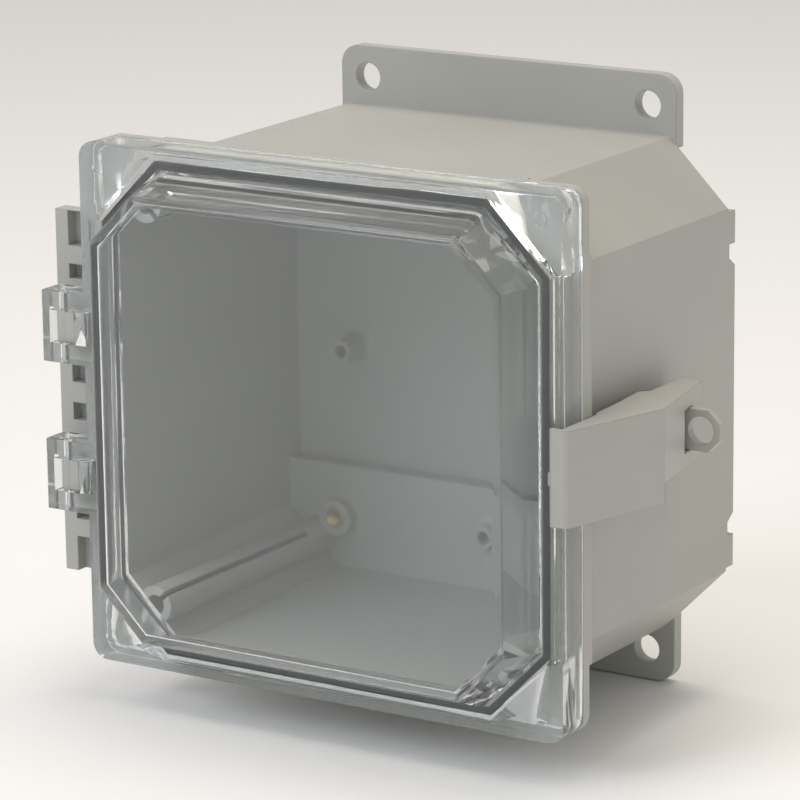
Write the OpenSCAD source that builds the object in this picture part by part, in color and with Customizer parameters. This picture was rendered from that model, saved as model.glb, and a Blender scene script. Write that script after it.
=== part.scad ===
// Hinged wall enclosure: a moulded grey base with a clear domed cover on the
// left-hand hinge and a swinging latch lever on the right-hand wall.
// Units are millimetres. X is to the right, Y runs into the wall, Z is up.
// The origin is on the back plane, in the middle of the four wall holes, so
// everything stands forward of it, towards -Y. Heights in this file are
// measured forward from the back plane.

/* [Cover] */
// width of the cover and of the base rim behind it
cover_w = 176.1; // [168:0.5:190]
// height of the cover and of the base rim behind it
cover_h = 170; // [164:0.5:176]
// radius of the four corners of the cover
cover_corner_r = 5.5; // [3:0.5:8]
// thickness of the clear wall
cover_wall = 2.6; // [2:0.1:3]
// depth of the skirt, from its rear edge to the plain flange front
skirt_depth = 10.3; // [9.5:0.1:12]
// how far the corner pads stand in front of the plain flange
pad_rise = 1.7; // [0.5:0.1:3]
// line of the inner edge of a corner pad, as the sum of its X and Z
pad_line = 143.6; // [143:0.1:148]
// height above the middle where the side end of a pad is cut off
pad_side_end = 59.5; // [58:0.5:64]
// width of the raised outer rim of the flange
flange_rim = 3; // [2:0.1:3.6]
// distance from the side of the cover to the side of the dome front
dome_margin_x = 12.55; // [12:0.05:18]
// distance from the top of the cover to the top of the dome front
dome_margin_z = 12.3; // [12:0.05:18]
// corner cut of the dome front
dome_corner = 16.6; // [8:0.2:20]
// how far the dome stands in front of the corner pads
dome_rise = 14.7; // [8:0.1:20]
// how much each side of the dome spreads towards its foot
dome_spread = 4.2; // [1:0.1:4.6]
// extra spread of the top and bottom of the dome at its foot
dome_spread_top = 1.1; // [0:0.1:1.5]
// corner cut at the foot of the dome
dome_foot_corner = 21; // [16:0.2:23]
// radius of the rounded edge of the dome front
dome_edge = 3; // [1:0.1:3.4]

/* [Base] */
// height of the seat plane, the front of the base rim
base_depth = 105.7; // [90:0.5:125]
// thickness of the tub walls
wall = 3.2; // [2.6:0.1:4]
// how far the rim stands out past the tub on the left and right
rim_out_x = 5.85; // [4.5:0.05:6.5]
// how far the rim stands out past the tub at the top and bottom
rim_out_z = 4.1; // [3.5:0.05:5]
// thickness of the rim
rim_t = 5.45; // [4:0.05:7]
// how much thinner the rim is at its corners
rim_corner_step = 1.8; // [0:0.1:2.5]
// how far the inner lip stands in front of the rim
lip_rise = 5.8; // [4.5:0.1:6.5]
// corner cut of the tub
tub_corner = 21.3; // [16:0.1:23]
// how much the floor and the ceiling close in towards the back
draft_z = 2.1; // [0.5:0.1:3]
// height of the middle of the inside back wall
mid_floor = 9; // [7:0.5:12]
// height of the top and bottom bands of the inside back wall
band_floor = 16; // [14:0.5:18]
// distance from the middle to the inner edge of a band
band_z = 40.3; // [34:0.5:44]

/* [Rear] */
// near edge of the slot across the back
groove_z0 = 40.8; // [38:0.2:42]
// far edge of the slot across the back
groove_z1 = 48; // [45:0.5:50]
// depth of the slot across the back
groove_d = 3.7; // [2:0.1:5]
// run of the sloping side of that slot
groove_slope = 2.7; // [1:0.1:4]
// distance from the middle to the end of the full-depth back
back_end_z = 58.6; // [56:0.2:60]
// thickness of the ribs behind the back wall
rib_t = 2.4; // [1.6:0.1:3.2]

/* [Wall flanges] */
// spacing of the wall holes across
wall_hole_dx = 106; // [90:0.5:112]
// spacing of the wall holes up and down
wall_hole_dz = 180.8; // [178:0.2:190]
// radius of a wall hole
wall_hole_r = 4.7; // [2.5:0.1:5.2]
// material round a wall hole, out to the flange edge
flange_margin = 10.3; // [8:0.1:12]
// thickness of a wall flange
flange_t = 4.6; // [3.5:0.1:6]
// radius of the flange corners
flange_r = 6.5; // [3:0.5:9]

/* [Inside bosses] */
// spacing of the brass inserts across
insert_dx = 117; // [110:0.5:119]
// spacing of the brass inserts up and down
insert_dz = 116; // [110:0.5:118]
// height of all the boss tips
boss_tip = 20; // [18.5:0.1:24]
// radius of an insert boss
insert_boss_r = 6.25; // [5:0.05:6.5]
// radius of a brass insert
insert_r = 3.6; // [3:0.1:4.2]
// radius of the bore in a brass insert
insert_bore_r = 2.1; // [1.5:0.05:2.4]
// length of a brass insert
insert_len = 8; // [5:0.5:9]
// distance of the two side bosses from the middle
plain_boss_x = 55; // [48:0.5:62]
// distance of the top and bottom bosses from the middle
plain_boss_z = 56.5; // [50:0.5:62]
// radius of a plain boss
plain_boss_r = 4; // [3.5:0.1:5]
// radius of the pilot hole in a plain boss
plain_hole_r = 2.2; // [1.5:0.1:2.5]
// width of the round fillet at the foot of a plain boss
plain_foot = 1.8; // [0.5:0.1:2.5]
// distance of a corner column from the outside of the tub
column_inset = 15.3; // [15:0.1:17]
// radius of a corner column
column_r = 6.15; // [5.5:0.05:6.3]
// radius of the hole in a corner column
column_hole_r = 3.25; // [2:0.05:3.3]
// width of the slot along a corner column
column_slot = 1.8; // [1:0.1:2.5]
// height where the column hole and its slot stop
column_slot_end = 30; // [22:0.5:60]

/* [Hinge] */
// level of the middle of the hinge side
hinge_mid = -1.05; // [-3:0.05:3]
// distance between the middles of the two hinge lugs
lug_pitch = 48.9; // [40:0.1:60]
// height of a hinge lug
lug_h = 23.3; // [21:0.1:26]
// height of each arm of a hinge lug
lug_arm = 6.3; // [5:0.1:7]
// reach of a hinge lug out from the side of the cover
lug_reach = 16.35; // [15.8:0.05:18]
// depth of a hinge lug from front to back
lug_depth = 9.6; // [8.6:0.1:9.8]
// width of the outer bar of a hinge lug
lug_bar = 2.8; // [2:0.1:3]
// depth of the outer bar from front to back
lug_bar_depth = 6.5; // [4:0.1:6.8]
// width of the thin web beside the cover
lug_web_w = 4.15; // [2:0.05:5]
// thickness of that web
lug_web_t = 1.2; // [0.6:0.1:1.3]
// distance of the hinge axis from the side of the cover
hinge_out = 9.95; // [9.6:0.05:10.2]
// distance of the hinge axis behind the front of the corner pads
hinge_back = 4.7; // [4.4:0.1:5]
// radius of the base knuckle round a hinge pin
knuckle_r = 3.3; // [2.8:0.05:3.35]
// radius of a hinge pin
hinge_pin_r = 1.5; // [1:0.05:1.8]
// width of the hinge rail outside the rim
rail_w = 19.25; // [18:0.05:22]
// half length of the hinge rail
rail_half = 60; // [58:0.5:64]
// how far the pocket openings stay inside the rail edge
pocket_edge = 4.9; // [3:0.1:7]
// width of the rail pockets
pocket_w = 7.5; // [4:0.1:9]
// depth of the rail pockets
pocket_d = 4; // [2:0.1:4.4]
// nearest and farthest edges of the three pockets on each side of the middle
pocket_spans = [[3.4, 9.2], [37.6, 42.4], [48.4, 59.8]];

/* [Latch] */
// top of the latch lever
latch_top = 14.3; // [13:0.1:16]
// bottom of the front part of the latch lever
latch_bottom = -15.8; // [-18:0.1:-14]
// bottom of the rear part of the latch lever
tail_bottom = -9.3; // [-11:0.1:-8.5]
// thickness of the walls of the lever
latch_wall = 2.8; // [2:0.1:3]
// how far the hook lip reaches over the cover flange
lip_reach = 3.4; // [2:0.1:4.5]
// how far the hook lip front stands in front of the corner pads
lip_front = 2.6; // [1.5:0.1:4]
// width of the hook seen from the front
hook_w = 6.3; // [5:0.1:7]
// level of the small stop on the inner edge of the hook
nub_z = -1.3; // [-8:0.1:8]
// height of the small stop
nub_h = 4.2; // [2:0.1:6]
// how far the small stop stands out of the hook edge
nub_out = 0.6; // [0.3:0.1:1]
// distance of the lever crest from the side of the cover
crest_out = 14.5; // [12:0.1:16]
// height of the lever crest
crest_h = 81.3; // [76:0.1:88]
// distance of the tail end from the side of the cover
tail_out = 7.6; // [7:0.1:9]
// height of the tail end
tail_h = 46.2; // [44:0.1:48]
// distance of the latch pin from the side of the cover
pivot_out = 2.25; // [2:0.05:3]
// height of the latch pin
pivot_h = 47.5; // [47:0.1:48]
// radius of the barrel round the latch pin
pivot_r = 3.2; // [2.8:0.1:3.4]
// radius of the latch pin
latch_pin_r = 1.25; // [1:0.05:1.5]
// front end of the slot for the padlock eye
slot_front = 62.4; // [61.6:0.1:64]
// width of the cut edge of the hook front
hook_edge = 0.9; // [0.3:0.1:1.2]
// distance of the lever's rear face from the side of the cover at the crest
lever_in = 1.5; // [1:0.1:1.8]
// distance of the lever's rear foot from the side of the cover
lever_foot_in = 2.8; // [2.2:0.1:2.9]
// distance from the side of the cover to the inside of the front wall
lever_inner = 6.5; // [6:0.1:7.5]

/* [Padlock eye] */
// front face of the eye plate
eye_front = 58; // [57.4:0.1:58.2]
// thickness of the eye plate
eye_t = 3; // [2:0.1:3.4]
// level of the middle of the eye
eye_mid = 1.9; // [1.5:0.1:2.3]
// height of the eye plate
eye_h = 13.2; // [12:0.1:13.4]
// reach of the eye plate from the side of the tub
eye_reach = 26.3; // [24:0.1:30]
// radius of the padlock hole
eye_hole_r = 4.5; // [2.5:0.1:4.6]
// material between the padlock hole and the end of the plate
eye_end = 1.9; // [1.5:0.1:4]
// corner cut at the end of the eye plate
eye_corner = 4; // [1:0.1:5]

/* [Gasket] */
// width of the gasket
gasket_w = 2.4; // [1.8:0.1:2.6]
// depth of the gasket groove in the cover
gasket_groove = 1; // [0.5:0.1:1.2]
// distance of the gasket from the outer edge of the base lip
gasket_in = 0.3; // [0.1:0.05:0.5]

/* [Hidden] */
// running gap between a pin and its knuckle
pin_gap = 0.05;
// gap between neighbouring parts that move past each other
run_gap = 0.3;
// small overlap used when one solid grows out of another
eps = 0.4;
cw = cover_w / 2;
ch = cover_h / 2;
tw = cw - rim_out_x;
th = ch - rim_out_z;
iw = tw - wall;
ih = th - wall;
// inner corner cut that keeps the same wall across the corner
inner_corner = tub_corner - wall * (2 - sqrt(2));
seat = base_depth;
skirt_back = seat + run_gap;
flange_front = skirt_back + skirt_depth;
pad_front = flange_front + pad_rise;
lip_front_h = seat + lip_rise;
plate_back = flange_front - cover_wall - 0.2;
dome_front = pad_front + dome_rise;
dome_x = cw - dome_margin_x;
dome_z = ch - dome_margin_z;
foot_w = dome_x + dome_spread;
foot_h = dome_z + dome_spread + dome_spread_top;
col_x = tw - column_inset;
col_z = th - column_inset;
flange_w = wall_hole_dx / 2 + flange_margin;
flange_z = wall_hole_dz / 2 + flange_margin;
axis_x = -(cw + hinge_out);
axis_h = pad_front - hinge_back;
lug_x = -(cw + lug_reach);
window_h = lug_h - 2 * lug_arm;
lug_levels = [hinge_mid + lug_pitch / 2, hinge_mid - lug_pitch / 2];
rail_x = -(cw + rail_w);
pivot_x = cw + pivot_out;
eye_z0 = eye_mid - eye_h / 2;
eye_z1 = eye_mid + eye_h / 2;
eye_x = tw + eye_reach;
hook_x0 = cw - lip_reach;
hook_x1 = hook_x0 + hook_w;
hook_front_h = pad_front + lip_front;
hook_back_h = pad_front + run_gap;
insert_x = insert_dx / 2;
insert_z = insert_dz / 2;
insert_names = ["insert_tl", "insert_tr", "insert_bl", "insert_br"];
insert_signs = [[-1, 1], [1, 1], [-1, -1], [1, -1]];
$fn = 48;

// ---------------------------------------------------------------- helpers

// solid standing between two heights, drawn in X and Z
module slab(h0, h1) {
    translate([0, -h0, 0])
        rotate([90, 0, 0])
            linear_extrude(h1 - h0)
                children();
}

// solid standing between two levels, drawn in X and height
module plan(z0, z1) {
    translate([0, 0, z0])
        mirror([0, 1, 0])
            linear_extrude(z1 - z0)
                children();
}

// rectangle with its four corners cut off
module octagon(a, b, c) {
    polygon([[a - c, b], [a, b - c], [a, c - b], [a - c, -b],
             [c - a, -b], [-a, c - b], [-a, b - c], [c - a, b]]);
}

// rectangle with its four corners rounded
module round_rect(a, b, r) {
    square([2 * a, 2 * (b - r)], center = true);
    square([2 * (a - r), 2 * b], center = true);
    for (sx = [-1, 1], sz = [-1, 1])
        translate([sx * (a - r), sz * (b - r)])
            circle(r);
}

// round bar along Y between two heights
module peg(x, z, r, h0, h1) {
    translate([x, -h0, z])
        rotate([90, 0, 0])
            cylinder(h = h1 - h0, r = r);
}

// round bar along Z between two levels
module stem(x, h, r, z0, z1) {
    translate([x, -h, z0])
        cylinder(h = z1 - z0, r = r);
}

// ---------------------------------------------------------------- base

// outline of the tub seen from the front
module tub_outline() {
    octagon(tw, th, tub_corner);
}

// the hollow of the tub, closing in a little towards the back
module tub_hollow() {
    hull() {
        slab(lip_front_h, lip_front_h + 1)
            octagon(iw, ih, inner_corner);
        slab(band_floor, band_floor + 0.01)
            octagon(iw, ih - draft_z, inner_corner);
    }
    slab(mid_floor, band_floor + eps)
        square([2 * iw, 2 * band_z], center = true);
}

// the rim, with its corners thinner than the straight stretches
module rim() {
    slab(seat - rim_t + rim_corner_step, seat)
        round_rect(cw, ch, cover_corner_r);
    slab(seat - rim_t, seat) {
        square([2 * (cw - tub_corner), 2 * ch], center = true);
        square([2 * cw, 2 * (ch - tub_corner)], center = true);
    }
}

// hollows behind the back wall, left between the ribs
module back_hollows() {
    half = band_z - wall - rib_t;
    for (sx = [-1, 1], sz = [-1, 1])
        translate([sx * (iw / 2 + rib_t / 4), 0, sz * (half / 2 + rib_t / 4)])
            slab(-1, mid_floor - wall)
                square([iw - rib_t / 2, half - rib_t / 2], center = true);
    for (sz = [-1, 1]) {
        z0 = groove_z1 + wall;
        z1 = ih - draft_z;
        x1 = iw - inner_corner - rib_t;
        for (sx = [-1, 1])
            translate([sx * (x1 / 2 + rib_t / 4), 0, sz * (z0 + z1) / 2])
                slab(-1, band_floor - wall)
                    square([x1 - rib_t / 2, z1 - z0], center = true);
    }
}

// the two slots across the back, with one sloping side each
module back_grooves() {
    for (s = [0, 1])
        mirror([0, 0, s])
            rotate([90, 0, 90])
                linear_extrude(2 * tw + 2, center = true)
                    polygon([[1, groove_z0 - groove_slope / groove_d],
                             [-groove_d, groove_z0 + groove_slope],
                             [-groove_d, groove_z1],
                             [1, groove_z1]]);
}

// one wall flange with its two holes
module wall_flange(s) {
    mirror([0, 0, s > 0 ? 0 : 1])
        slab(0, flange_t) {
            translate([0, th - wall - eps])
                translate([-flange_w, 0])
                    square([2 * flange_w, flange_z - flange_r - th + wall + eps]);
            translate([-(flange_w - flange_r), flange_z - flange_r - eps])
                square([2 * (flange_w - flange_r), flange_r + eps]);
            for (sx = [-1, 1])
                translate([sx * (flange_w - flange_r), flange_z - flange_r])
                    circle(flange_r);
        }
}

// one boss with a pilot hole and a rounded foot
module plain_boss(x, z, floor_h) {
    translate([x, -floor_h, z])
        rotate([90, 0, 0])
            rotate_extrude()
                difference() {
                    polygon([[0, -1], [plain_boss_r + plain_foot, -1],
                             [plain_boss_r + plain_foot, 0],
                             [plain_boss_r + 0.3 * plain_foot, 0.3 * plain_foot],
                             [plain_boss_r, plain_foot],
                             [plain_boss_r - 0.2, boss_tip - floor_h],
                             [0, boss_tip - floor_h]]);
                    square([0.001, 0.001]);
                }
}

// the hinge rail beside the rim
module hinge_rail() {
    plan_z0 = hinge_mid - rail_half;
    plan_z1 = hinge_mid + rail_half;
    difference() {
        translate([rail_x, -seat, plan_z0])
            cube([rail_w + eps + 2, rim_t, plan_z1 - plan_z0]);
        for (s = [-1, 1], p = pocket_spans)
            translate([rail_x + pocket_edge, -seat - 1, hinge_mid + (s > 0 ? p[0] : -p[1])])
                cube([pocket_w, pocket_d + 1, p[1] - p[0]]);
        translate([rail_x + pocket_edge, -seat - 1, plan_z0 - 1])
            cube([pocket_w, pocket_d + 1, 4]);
    }
}

// one base knuckle, a crank that comes forward beside the cover
module base_knuckle(level) {
    z0 = level - window_h / 2 + run_gap;
    z1 = level + window_h / 2 - run_gap;
    leg_x = axis_x + 5;
    side = -cw - run_gap;
    difference() {
        union() {
            stem(axis_x, axis_h, knuckle_r, z0, z1);
            intersection() {
                plan(z0, z1)
                    translate([axis_x, axis_h - 2])
                        square([side - axis_x, 5]);
                stem(axis_x, axis_h, hinge_out - 0.35, z0, z1);
            }
            plan(z0, z1)
                translate([leg_x, seat - eps])
                    square([side - leg_x, axis_h - seat + eps]);
        }
        stem(axis_x, axis_h, hinge_pin_r + pin_gap, z0 - 1, z1 + 1);
    }
}

// the padlock eye and the pivot block behind it
module padlock_eye() {
    hole_x = eye_x - eye_end - eye_hole_r;
    difference() {
        union() {
            slab(eye_front - eye_t, eye_front)
                polygon([[tw - eps, eye_z0], [eye_x - eye_corner, eye_z0],
                         [eye_x, eye_z0 + eye_corner], [eye_x, eye_z1 - eye_corner],
                         [eye_x - eye_corner, eye_z1], [tw - eps, eye_z1]]);
            plan(eye_z0, eye_z1)
                polygon([[tw - eps, pivot_h - pivot_r - 2], [tw + 2, pivot_h - pivot_r],
                         [pivot_x, pivot_h - pivot_r], [pivot_x, eye_front - 1],
                         [tw - eps, eye_front - 1]]);
            stem(pivot_x, pivot_h, pivot_r, eye_z0, eye_z1);
        }
        peg(hole_x, eye_mid, eye_hole_r, eye_front - eye_t - 1, eye_front + 1);
        stem(pivot_x, pivot_h, latch_pin_r + pin_gap, eye_z0 - 1, eye_z1 + 1);
    }
}

module enclosure_base() {
    color([0.74, 0.75, 0.72])
    difference() {
        union() {
            difference() {
                union() {
                    slab(0, lip_front_h)
                        tub_outline();
                    rim();
                }
                tub_hollow();
                back_hollows();
                back_grooves();
                for (s = [-1, 1])
                    translate([0, -flange_t / 2 + 1, s * (back_end_z + th)])
                        cube([2 * tw + 2, flange_t + 2, 2 * th], center = true);
            }
            for (s = [-1, 1])
                wall_flange(s);
            for (s = insert_signs) {
                peg(s[0] * insert_x, s[1] * insert_z, insert_boss_r, flange_t, boss_tip);
                intersection() {
                    peg(s[0] * col_x, s[1] * col_z, column_r, flange_t, lip_front_h);
                    slab(0, lip_front_h)
                        tub_outline();
                }
            }
            for (s = [-1, 1]) {
                plain_boss(s * plain_boss_x, 0, mid_floor);
                plain_boss(0, s * plain_boss_z, band_floor);
            }
            hinge_rail();
            for (z = lug_levels)
                base_knuckle(z);
            padlock_eye();
        }
        for (sx = [-1, 1], sz = [-1, 1])
            peg(sx * wall_hole_dx / 2, sz * wall_hole_dz / 2, wall_hole_r, -1, flange_t + 1);
        for (s = insert_signs) {
            peg(s[0] * insert_x, s[1] * insert_z, insert_r, boss_tip - insert_len, boss_tip + 1);
            peg(s[0] * col_x, s[1] * col_z, column_hole_r, column_slot_end, lip_front_h + 1);
            translate([s[0] * col_x, 0, s[1] * col_z])
                rotate([0, s[0] * s[1] > 0 ? -45 : 45, 0])
                    translate([s[0] > 0 ? -column_r - 1 : 0, -lip_front_h - 1, -column_slot / 2])
                        cube([column_r + 1, lip_front_h + 1 - column_slot_end, column_slot]);
        }
        for (s = [-1, 1]) {
            peg(s * plain_boss_x, 0, plain_hole_r, mid_floor + 1, boss_tip + 1);
            peg(0, s * plain_boss_z, plain_hole_r, mid_floor + 1, boss_tip + 1);
        }
    }
}

// ---------------------------------------------------------------- cover

// the tapered dome with its rounded front edge, shrunk by a given amount
module dome_form(inset, back_h, front_h) {
    r = dome_edge - 0.5 * inset;
    hull() {
        slab(back_h, back_h + 0.01)
            octagon(foot_w - inset, foot_h - inset, dome_foot_corner - inset * (2 - sqrt(2)));
        for (t = [0 : 15 : 90]) {
            cut = inset + r * (1 - cos(t));
            slab(front_h - r * (1 - sin(t)) - 0.01, front_h - r * (1 - sin(t)))
                octagon(dome_x - cut, dome_z - cut, dome_corner - cut * (2 - sqrt(2)));
        }
    }
}

// the corner areas outside the line of a pad
module pad_corners() {
    intersection() {
        round_rect(cw, ch, cover_corner_r);
        for (sx = [-1, 1], sz = [-1, 1])
            polygon([[sx * (pad_line - ch - 1), sz * (ch + 1)],
                     [sx * (cw + 1), sz * (ch + 1)],
                     [sx * (cw + 1), sz * pad_side_end],
                     [sx * (pad_line - pad_side_end), sz * pad_side_end]]);
    }
}

// the raised rim along the outer edge of the flange
module flange_rim_outline() {
    difference() {
        round_rect(cw, ch, cover_corner_r);
        round_rect(cw - flange_rim, ch - flange_rim, 1);
    }
}

// one hinge lug, a frame of two arms, an outer bar and a thin web
module hinge_lug(level) {
    z0 = level - lug_h / 2;
    z1 = level + lug_h / 2;
    back_h = pad_front - lug_depth;
    r = 2.5;
    difference() {
        plan(z0, z1) {
            translate([lug_x, back_h + r])
                square([lug_reach + eps, lug_depth - r]);
            translate([lug_x + r, back_h])
                square([lug_reach - r + eps, lug_depth]);
            translate([lug_x + r, back_h + r])
                circle(r);
        }
        plan(z0 + lug_arm, z1 - lug_arm) {
            translate([lug_x + lug_bar, back_h - 1])
                square([lug_reach - lug_bar - lug_web_w, lug_depth + 2]);
            translate([lug_x - 1, back_h - 1])
                square([lug_reach + 1, lug_depth - lug_bar_depth + 1]);
            translate([lug_x + lug_bar, back_h - 1])
                square([lug_reach - lug_bar, lug_depth - lug_web_t + 1]);
        }
        stem(axis_x, axis_h, hinge_pin_r + pin_gap, z0 - 1, z1 + 1);
    }
}

// outline of the gasket, drawn with a margin each side
module gasket_outline(grow) {
    o = gasket_in - grow;
    i = gasket_in + gasket_w + grow;
    difference() {
        octagon(tw - o, th - o, tub_corner - o * (2 - sqrt(2)));
        octagon(tw - i, th - i, tub_corner - i * (2 - sqrt(2)));
    }
}

module clear_cover() {
    color([0.8, 0.87, 0.9, 0.45])
    difference() {
        union() {
            slab(skirt_back, flange_front)
                round_rect(cw, ch, cover_corner_r);
            slab(flange_front - eps, pad_front) {
                pad_corners();
                flange_rim_outline();
            }
            dome_form(0, flange_front - eps, dome_front);
            for (z = lug_levels)
                hinge_lug(z);
        }
        // hollow inside the skirt, with the corner blocks left solid
        difference() {
            slab(skirt_back - 1, plate_back)
                round_rect(cw - cover_wall, ch - cover_wall, cover_corner_r - 2);
            slab(skirt_back + 1.5, plate_back + 1)
                pad_corners();
        }
        dome_form(cover_wall, skirt_back, dome_front - cover_wall);
        slab(plate_back - 1, plate_back + gasket_groove)
            gasket_outline(0);
        // shallow round dimples in the pads
        for (sx = [-1, 1], sz = [-1, 1])
            peg(sx * (cw - 7.4), sz * (ch - 8), 2.2, pad_front - 0.6, pad_front + 1);
    }
}

module cover_gasket() {
    color([0.16, 0.17, 0.18])
    slab(lip_front_h, plate_back + gasket_groove)
        gasket_outline(0);
}

// ---------------------------------------------------------------- pins and inserts

module hinge_pin(level) {
    color([0.72, 0.73, 0.75])
    stem(axis_x, axis_h, hinge_pin_r, level - lug_h / 2 + 0.6, level + lug_h / 2 - 0.6);
}

module latch_pin() {
    color([0.72, 0.73, 0.75])
    stem(pivot_x, pivot_h, latch_pin_r, tail_bottom + 0.4, latch_top - 1.6);
}

module insert_part(i) {
    color([0.80, 0.63, 0.28])
    difference() {
        peg(insert_signs[i][0] * insert_x, insert_signs[i][1] * insert_z, insert_r,
            boss_tip - insert_len, boss_tip);
        peg(insert_signs[i][0] * insert_x, insert_signs[i][1] * insert_z, insert_bore_r,
            boss_tip - insert_len - 1, boss_tip + 1);
    }
}

// ---------------------------------------------------------------- latch

// outside of the lever seen from above, in X and height
module lever_outline() {
    x0 = cw + run_gap;
    polygon([[hook_x0, hook_back_h], [hook_x0, hook_front_h - hook_edge],
             [hook_x0 + hook_edge, hook_front_h], [hook_x1 - hook_edge, hook_front_h],
             [hook_x1 + 0.2, hook_front_h - hook_edge],
             [cw + crest_out, crest_h], [cw + tail_out, tail_h],
             [pivot_x + 1, pivot_h - pivot_r], [pivot_x, pivot_h - pivot_r],
             [pivot_x - 2, pivot_h + 2], [cw, pivot_h + 7], [cw, pivot_h + 17],
             [cw - lever_foot_in, pivot_h + 20], [cw - lever_in, crest_h],
             [cw - 0.7, seat - rim_t - 4], [x0, seat - rim_t - 1.5], [x0, hook_back_h]]);
}

// the hollow inside the lever, open towards the tub
module lever_hollow() {
    n = latch_wall;
    back_h = pivot_h - 2 * pivot_r;
    front_h = seat - rim_t - 1.5;
    polygon([[tw - 2, back_h], [cw + tail_out - 1.04 * n, back_h],
             [cw + tail_out - 1.04 * n, tail_h + 1], [cw + crest_out - 1.02 * n, crest_h],
             [cw + lever_inner, front_h], [tw - 2, front_h]]);
}

module latch_lever() {
    color([0.74, 0.75, 0.72])
    difference() {
        union() {
            difference() {
                plan(latch_bottom, latch_top)
                    lever_outline();
                // hollow between the two cheeks
                plan(tail_bottom + latch_wall, latch_top - latch_wall)
                    lever_hollow();
                plan(latch_bottom + latch_wall, 0)
                    intersection() {
                        lever_hollow();
                        translate([0, crest_h + 1.5])
                            square([eye_x, hook_front_h - crest_h]);
                    }
                // finger notch under the tail
                plan(latch_bottom - 1, tail_bottom)
                    translate([tw - 2, 0])
                        square([eye_reach, crest_h]);
                // slot for the padlock eye and the pivot block
                plan(eye_z0 - run_gap, eye_z1 + run_gap)
                    translate([tw - 2, 0])
                        square([eye_reach, slot_front]);
            }
            // small stop on the inner edge of the hook
            plan(nub_z - nub_h / 2, nub_z + nub_h / 2)
                translate([hook_x0 - nub_out, hook_back_h])
                    square([nub_out + eps, hook_front_h - hook_edge - hook_back_h]);
            // barrels round the pin, above and below the pivot block
            stem(pivot_x, pivot_h, pivot_r, eye_z1 + run_gap, latch_top);
            stem(pivot_x, pivot_h, pivot_r, tail_bottom, eye_z0 - run_gap);
        }
        stem(pivot_x, pivot_h, latch_pin_r + pin_gap, tail_bottom - 1, latch_top - 1.4);
    }
}

// ---------------------------------------------------------------- draw

enclosure_base();
clear_cover();
cover_gasket();
hinge_pin(lug_levels[0]);  // hinge_pin_upper
hinge_pin(lug_levels[1]);  // hinge_pin_lower
latch_lever();
latch_pin();
insert_part(0);  // insert_tl
insert_part(1);  // insert_tr
insert_part(2);  // insert_bl
insert_part(3);  // insert_br
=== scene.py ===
"""Looks for the hinged wall enclosure: satin grey mouldings, a clear domed cover, brass inserts and steel pins."""

import math

import bmesh
import bpy
import numpy as np
from mathutils import Matrix, Vector

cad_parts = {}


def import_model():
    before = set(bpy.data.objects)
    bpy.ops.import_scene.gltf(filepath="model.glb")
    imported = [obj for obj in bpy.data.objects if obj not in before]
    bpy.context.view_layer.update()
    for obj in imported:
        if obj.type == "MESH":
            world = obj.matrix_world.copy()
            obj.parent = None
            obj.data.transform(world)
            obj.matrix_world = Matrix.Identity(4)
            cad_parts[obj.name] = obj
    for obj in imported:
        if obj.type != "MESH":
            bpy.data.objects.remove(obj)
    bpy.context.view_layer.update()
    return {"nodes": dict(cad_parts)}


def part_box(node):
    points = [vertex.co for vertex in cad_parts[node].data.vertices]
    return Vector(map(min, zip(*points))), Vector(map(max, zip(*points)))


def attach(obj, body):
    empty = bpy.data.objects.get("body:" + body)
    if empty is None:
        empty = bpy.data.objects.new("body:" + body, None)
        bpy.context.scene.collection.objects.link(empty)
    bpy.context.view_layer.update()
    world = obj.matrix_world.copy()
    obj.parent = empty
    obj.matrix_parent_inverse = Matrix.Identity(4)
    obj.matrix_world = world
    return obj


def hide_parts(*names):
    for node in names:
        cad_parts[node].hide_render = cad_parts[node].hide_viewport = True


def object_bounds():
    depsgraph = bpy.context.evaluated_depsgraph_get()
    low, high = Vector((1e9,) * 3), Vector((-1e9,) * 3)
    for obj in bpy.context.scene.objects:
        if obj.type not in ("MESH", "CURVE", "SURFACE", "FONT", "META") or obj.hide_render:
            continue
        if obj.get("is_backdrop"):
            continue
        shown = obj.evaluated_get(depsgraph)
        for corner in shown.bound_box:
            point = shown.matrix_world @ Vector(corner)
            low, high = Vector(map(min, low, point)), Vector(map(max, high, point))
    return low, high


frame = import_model()
nodes = frame["nodes"]


# ------------------------------------------------------------------ materials

def new_material(name):
    m = bpy.data.materials.new(name)
    m.use_nodes = True
    nt = m.node_tree
    nt.nodes.clear()
    out = nt.nodes.new("ShaderNodeOutputMaterial")
    bsdf = nt.nodes.new("ShaderNodeBsdfPrincipled")
    nt.links.new(bsdf.outputs[0], out.inputs[0])
    return m, nt, bsdf, out


def noise(nt, scale, detail=4.0, rough=0.6):
    tc = nt.nodes.new("ShaderNodeTexCoord")
    n = nt.nodes.new("ShaderNodeTexNoise")
    n.inputs["Scale"].default_value = scale
    n.inputs["Detail"].default_value = detail
    n.inputs["Roughness"].default_value = rough
    nt.links.new(tc.outputs["Object"], n.inputs["Vector"])
    return n


def ramp(nt, source, stops):
    r = nt.nodes.new("ShaderNodeValToRGB")
    els = r.color_ramp.elements
    els[0].position, els[0].color = stops[0][0], (*stops[0][1], 1)
    els[1].position, els[1].color = stops[1][0], (*stops[1][1], 1)
    nt.links.new(source, r.inputs[0])
    return r


def spread(nt, source, low, high):
    r = nt.nodes.new("ShaderNodeMapRange")
    r.inputs["To Min"].default_value = low
    r.inputs["To Max"].default_value = high
    nt.links.new(source, r.inputs["Value"])
    return r


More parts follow.
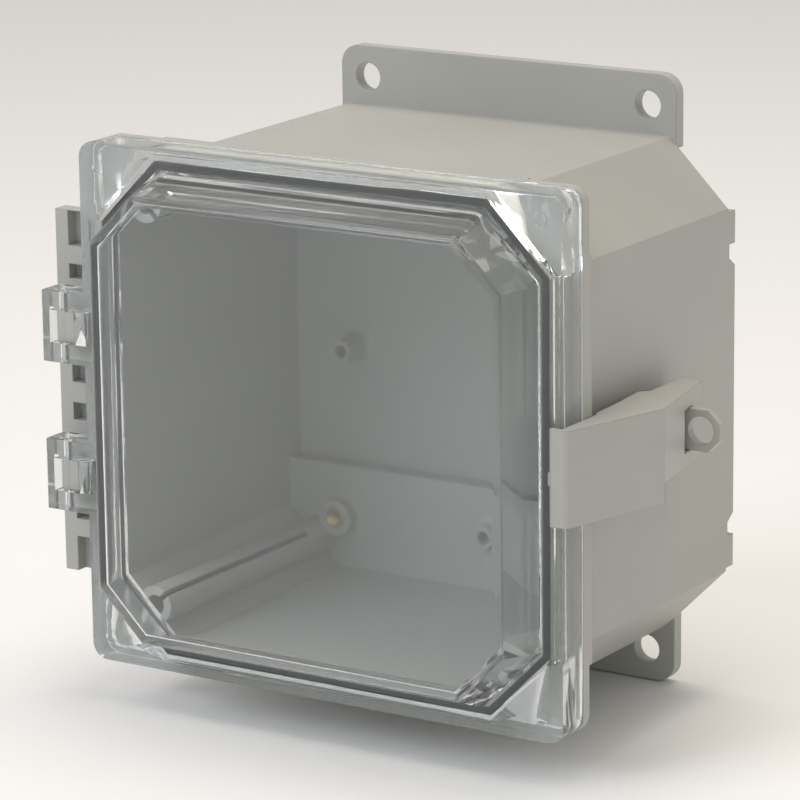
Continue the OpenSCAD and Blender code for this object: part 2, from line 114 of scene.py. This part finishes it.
def grain(nt, bsdf, source, distance, strength, edge=0.0):
    b = nt.nodes.new("ShaderNodeBump")
    b.inputs["Distance"].default_value = distance
    b.inputs["Strength"].default_value = strength
    nt.links.new(source, b.inputs["Height"])
    if edge:
        e = nt.nodes.new("ShaderNodeBevel")
        e.samples = 6
        e.inputs["Radius"].default_value = edge
        nt.links.new(e.outputs[0], b.inputs["Normal"])
    nt.links.new(b.outputs[0], bsdf.inputs["Normal"])


def grey_moulding():
    """Satin moulded plastic: a faint large mottle in the colour, a fine grain in the height, rounded edges."""
    m, nt, bsdf, out = new_material("grey_moulding")
    large = noise(nt, 18.0, 3.0)
    col = ramp(nt, large.outputs[0], [(0.3, (0.415, 0.420, 0.392)), (0.7, (0.450, 0.452, 0.424))])
    nt.links.new(col.outputs[0], bsdf.inputs["Base Color"])
    fine = noise(nt, 2600.0, 2.0)
    ro = spread(nt, large.outputs[0], 0.40, 0.50)
    nt.links.new(ro.outputs[0], bsdf.inputs["Roughness"])
    bsdf.inputs["IOR"].default_value = 1.5
    grain(nt, bsdf, fine.outputs[0], 0.00006, 0.25, 0.0007)
    return m


def clear_moulding():
    """Clear polycarbonate: faintly milky and grey, a little soft on its surface; lamps shine through."""
    m, nt, bsdf, out = new_material("clear_moulding")
    bsdf.inputs["Base Color"].default_value = (0.90, 0.92, 0.915, 1)
    bsdf.inputs["Roughness"].default_value = 0.05
    bsdf.inputs["IOR"].default_value = 1.40
    bsdf.inputs["Transmission Weight"].default_value = 0.95
    lp = nt.nodes.new("ShaderNodeLightPath")
    tr = nt.nodes.new("ShaderNodeBsdfTransparent")
    tr.inputs[0].default_value = (0.90, 0.91, 0.90, 1)
    mix = nt.nodes.new("ShaderNodeMixShader")
    nt.links.new(lp.outputs["Is Shadow Ray"], mix.inputs[0])
    nt.links.new(bsdf.outputs[0], mix.inputs[1])
    nt.links.new(tr.outputs[0], mix.inputs[2])
    nt.links.new(mix.outputs[0], out.inputs[0])
    return m


def metal(name, colour, low, high, scale, stretch):
    """Worked metal: a fine noise in the colour, the roughness and the height."""
    m, nt, bsdf, out = new_material(name)
    bsdf.inputs["Metallic"].default_value = 1.0
    n = noise(nt, scale, 3.0)
    col = ramp(nt, n.outputs[0], [(0.3, [c * 0.86 for c in colour]), (0.7, colour)])
    nt.links.new(col.outputs[0], bsdf.inputs["Base Color"])
    ro = spread(nt, n.outputs[0], low, high)
    nt.links.new(ro.outputs[0], bsdf.inputs["Roughness"])
    grain(nt, bsdf, n.outputs[0], 0.00003, 0.4)
    return m


def seal():
    m, nt, bsdf, out = new_material("seal")
    n = noise(nt, 900.0, 3.0)
    col = ramp(nt, n.outputs[0], [(0.3, (0.30, 0.30, 0.29)), (0.7, (0.36, 0.36, 0.35))])
    nt.links.new(col.outputs[0], bsdf.inputs["Base Color"])
    bsdf.inputs["Roughness"].default_value = 0.6
    grain(nt, bsdf, n.outputs[0], 0.00008, 0.4)
    return m


GREY = grey_moulding()
CLEAR = clear_moulding()
BRASS = metal("brass_insert", (0.80, 0.60, 0.26), 0.22, 0.38, 700.0, 1.0)
STEEL = metal("steel_pin", (0.70, 0.71, 0.73), 0.18, 0.32, 700.0, 1.0)
SEAL = seal()

MATERIAL_OF = {
    "enclosure_base": GREY, "latch_lever": GREY, "clear_cover": CLEAR, "cover_gasket": SEAL,
    "hinge_pin_upper": STEEL, "hinge_pin_lower": STEEL, "latch_pin": STEEL,
    "insert_tl": BRASS, "insert_tr": BRASS, "insert_bl": BRASS, "insert_br": BRASS,
}
for name, m in MATERIAL_OF.items():
    o = nodes[name]
    o.data.materials.clear()
    o.data.materials.append(m)


# ------------------------------------------------------------------ pieces

def smooth_cover(node, body):
    """The clear moulding with its rounds shaded smooth and its flat walls kept flat."""
    me = nodes[node].data.copy()
    me.name = "clear_cover_shell"
    bm = bmesh.new()
    bm.from_mesh(me)
    bmesh.ops.remove_doubles(bm, verts=bm.verts, dist=1e-6)
    bm.to_mesh(me)
    bm.free()
    me.shade_smooth()
    me.set_sharp_from_angle(angle=math.radians(24))
    o = bpy.data.objects.new("clear_cover_shell", me)
    bpy.context.scene.collection.objects.link(o)
    weigh = o.modifiers.new("flat_walls", "WEIGHTED_NORMAL")
    weigh.keep_sharp = True
    weigh.weight = 50
    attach(o, body)
    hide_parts(node)
    return o


def threaded_insert(node, body):
    """A turned brass bush about the Y axis. Bore radius r = minor + depth * (0.5 + 0.5 cos(2 pi y / pitch - a)),
    so the ridges wind round it as a thread; rims have a small chamfer and the outside is plain."""
    low, high = (Vector(v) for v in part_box(node))
    cx, cz, r = (low.x + high.x) / 2, (low.z + high.z) / 2, (high.x - low.x) / 2
    front, back = low.y, high.y
    minor, depth, pitch, edge = BORE_R, 0.00035, 0.0008, 0.0003
    turns, steps = 64, 96
    a = np.linspace(0, 2 * np.pi, turns, endpoint=False)
    y = np.linspace(front + edge, back - edge, steps)
    bore = minor + depth * (0.5 + 0.5 * np.cos(2 * np.pi * (y[:, None] - front) / pitch - a[None, :]))
    rows_r = [np.full(turns, minor + depth + edge)] + list(bore) + [np.full(turns, minor + depth + edge)]
    rows_y = [front] + list(y) + [back]
    rows_r += [np.full(turns, r - edge), np.full(turns, r), np.full(turns, r), np.full(turns, r - edge)]
    rows_y += [back, back - edge, front + edge, front]
    rr = np.array(rows_r)
    yy = np.repeat(np.array(rows_y)[:, None], turns, 1)
    co = np.stack([cx + rr * np.cos(a), yy, cz + rr * np.sin(a)], -1).reshape(-1, 3)
    n = len(rows_y)
    i, j = np.meshgrid(np.arange(n), np.arange(turns), indexing="ij")
    k = (i + 1) % n
    q = (j + 1) % turns
    faces = np.stack([i * turns + j, i * turns + q, k * turns + q, k * turns + j], -1).reshape(-1, 4)
    me = bpy.data.meshes.new(node + "_bush")
    me.from_pydata(co.tolist(), [], faces.tolist())
    bm = bmesh.new()
    bm.from_mesh(me)
    bmesh.ops.recalc_face_normals(bm, faces=bm.faces)
    bm.to_mesh(me)
    bm.free()
    me.shade_smooth()
    me.set_sharp_from_angle(angle=math.radians(40))
    me.materials.append(BRASS)
    o = bpy.data.objects.new(node + "_bush", me)
    bpy.context.scene.collection.objects.link(o)
    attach(o, body)
    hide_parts(node)
    return o


smooth_cover("clear_cover", "cover")
BORE_R = 0.0021
for name in ("insert_tl", "insert_tr", "insert_bl", "insert_br"):
    threaded_insert(name, "base")


# ------------------------------------------------------------------ stage, light, camera

def stage():
    low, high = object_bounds()
    me = bpy.data.meshes.new("floor")
    s = 4.0
    z = low.z - 0.0005
    me.from_pydata([(-s, -s, z), (s, -s, z), (s, s, z), (-s, s, z)], [], [(0, 1, 2, 3)])
    floor = bpy.data.objects.new("floor", me)
    bpy.context.scene.collection.objects.link(floor)
    m, nt, bsdf, out = new_material("floor_paint")
    bsdf.inputs["Base Color"].default_value = (0.93, 0.93, 0.93, 1)
    bsdf.inputs["Roughness"].default_value = 0.8
    me.materials.append(m)
    floor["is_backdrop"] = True


def area(name, place, target, size, power, colour=(1, 1, 1)):
    light = bpy.data.lights.new(name, "AREA")
    light.shape = "RECTANGLE"
    light.size, light.size_y = size
    light.energy = power
    light.color = colour
    o = bpy.data.objects.new(name, light)
    o.location = place
    o.rotation_mode = "QUATERNION"
    o.rotation_quaternion = (Vector(target) - Vector(place)).to_track_quat("-Z", "Y")
    bpy.context.scene.collection.objects.link(o)


def camera():
    cam = bpy.data.cameras.new("camera")
    cam.sensor_width = 36.0
    cam.lens = 4412.0 / 800.0 * 36.0
    cam.shift_x = -0.0056
    cam.shift_y = 0.0105
    cam.clip_start, cam.clip_end = 0.05, 50.0
    o = bpy.data.objects.new("camera", cam)
    right = Vector((0.842894, 0.537956, -0.011526))
    up = Vector((-0.124319, 0.215540, 0.968549))
    back = -Vector((-0.523521, 0.814951, -0.248555))
    rot = Matrix((right, up, back)).transposed().to_4x4()
    o.matrix_world = Matrix.Translation((0.73389, -1.20983, 0.346447)) @ rot
    bpy.context.scene.collection.objects.link(o)
    bpy.context.scene.camera = o


def world(ambient, tint):
    """White where the camera looks past the piece, and a dimmer even light on the piece itself."""
    w = bpy.data.worlds.new("studio")
    w.use_nodes = True
    nt = w.node_tree
    even = nt.nodes["Background"]
    even.inputs[0].default_value = (*tint, 1)
    even.inputs[1].default_value = ambient
    seen = nt.nodes.new("ShaderNodeBackground")
    seen.inputs[0].default_value = (1.0, 1.0, 1.0, 1)
    lp = nt.nodes.new("ShaderNodeLightPath")
    mix = nt.nodes.new("ShaderNodeMixShader")
    nt.links.new(lp.outputs["Is Camera Ray"], mix.inputs[0])
    nt.links.new(even.outputs[0], mix.inputs[1])
    nt.links.new(seen.outputs[0], mix.inputs[2])
    nt.links.new(mix.outputs[0], nt.nodes["World Output"].inputs[0])
    bpy.context.scene.world = w


stage()
camera()
world(0.522, (1.000, 0.984, 0.942))
area("key", (-0.7, -1.3, 1.1), (0, -0.06, 0), (0.9, 0.9), 9.22, (0.828, 0.868, 1.000))
area("top", (0.1, 0.0, 1.6), (0, -0.06, 0), (1.0, 1.0), 13.96, (1.000, 0.900, 0.790))
area("front", (0.4, -1.9, 0.4), (0, -0.06, 0), (0.9, 0.9), 0.90, (0.630, 0.921, 1.000))
bpy.context.scene.view_settings.view_transform = "Standard"
